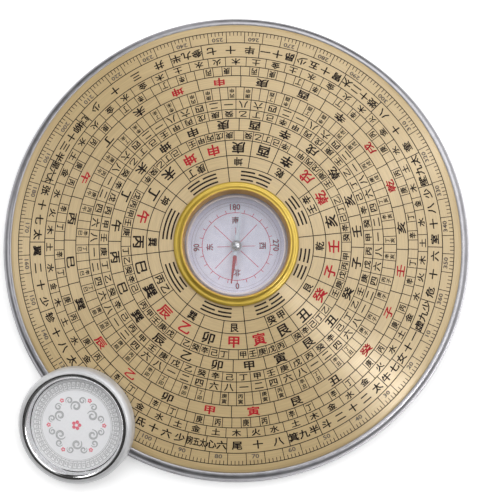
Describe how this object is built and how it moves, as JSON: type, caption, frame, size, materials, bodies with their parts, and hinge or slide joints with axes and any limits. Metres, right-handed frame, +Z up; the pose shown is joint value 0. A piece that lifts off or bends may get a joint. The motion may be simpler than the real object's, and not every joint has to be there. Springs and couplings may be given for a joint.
{
  "type": "feng shui compass",
  "caption": "Round metal luopan: domed dial plate with printed rings, a turning compass under glass in the middle, and a loose stamped cap leaning on its rim.",
  "frame": {"origin": "on the resting face, under the middle of the dial", "axes": "+Z up through the compass pivot, +Y towards the top edge of the picture, +X towards its right edge"},
  "size_m": [0.2028, 0.2033, 0.0183],
  "materials": {
    "chrome": "polished plating",
    "dial_gold": "gold anodised, finely brushed, printed black and red",
    "cover_black": "black crackle paint",
    "steel": "plain",
    "brass": "turned",
    "bezel_gold": "polished yellow gold plating",
    "white_plastic": "smooth",
    "crystal_glass": "clear",
    "gasket_rubber": "pale grey",
    "card": "white card printed red",
    "needle_paint": "red north half, bare steel south half",
    "cap_disc": "bright with a grey etched pattern",
    "felt": "dark felt"
  },
  "bodies": {
    "body": {"body_casting": "chrome", "dial_plate": "dial_gold", "back_cover": "cover_black", "cover_screw_1": "steel", "cover_screw_2": "steel", "cover_screw_3": "steel", "cover_screw_4": "steel", "cover_screw_5": "steel", "cover_screw_6": "steel", "compass_seat": "brass", "friction_washer": "white_plastic"},
    "turning_compass": {"bezel_ring": "bezel_gold", "bezel_circlip": "steel", "crystal": "crystal_glass", "crystal_gasket": "gasket_rubber", "capsule_cup": "white_plastic", "compass_card": "card", "capsule_lock_ring": "brass", "pivot_pin": "steel"},
    "swinging_needle": {"needle": "needle_paint", "jewel_cup": "brass", "needle_hub_cap": "chrome"},
    "cap": {"cap_shell": "chrome", "cap_emblem_disc": "cap_disc", "cap_felt_liner": "felt"}
  },
  "joints": [
    {"name": "bezel_turn", "type": "hinge", "parent": "body", "child": "turning_compass", "pos_m": [0, 0, 0.0152], "axis": [0, 0, 1], "continuous": true},
    {"name": "needle_swing", "type": "hinge", "parent": "turning_compass", "child": "swinging_needle", "pos_m": [0, 0, 0.0083], "axis": [0, 0, 1], "continuous": true},
    {"name": "cap_lift", "type": "slide", "parent": "body", "child": "cap", "axis": [0, 0, 1], "range_m": [0, 0.08]}
  ]
}
